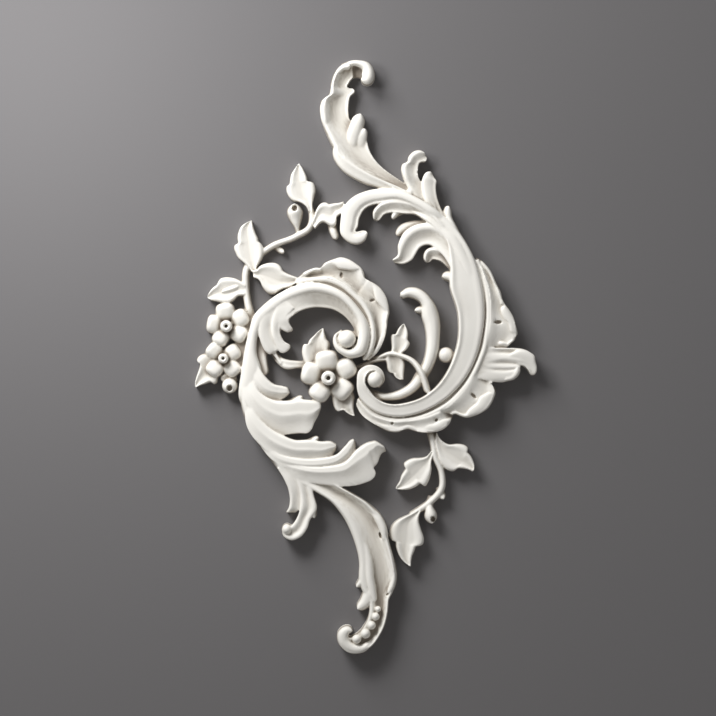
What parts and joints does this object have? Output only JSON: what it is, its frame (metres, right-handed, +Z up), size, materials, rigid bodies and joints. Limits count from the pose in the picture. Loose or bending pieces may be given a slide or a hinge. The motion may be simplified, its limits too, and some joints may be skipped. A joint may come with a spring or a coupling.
{
  "type": "relief ornament",
  "caption": "Cast openwork rococo scroll ornament with acanthus leaves, frilled edges, flowers and ivy sprays, flat behind for fixing to a wall, door or panel.",
  "frame": {"origin": "on the flat back, behind the middle of the large flower", "axes": "+Z up as the ornament hangs, +Y into the wall along the back's normal, +X to the right as seen from the front"},
  "size_m": [0.2296, 0.0195, 0.396],
  "materials": {
    "cast_resin": "off-white cast resin, softly matt, a little warmer in the recesses"
  },
  "bodies": {
    "root": {"scroll_ornament": "cast_resin"}
  },
  "joints": []
}
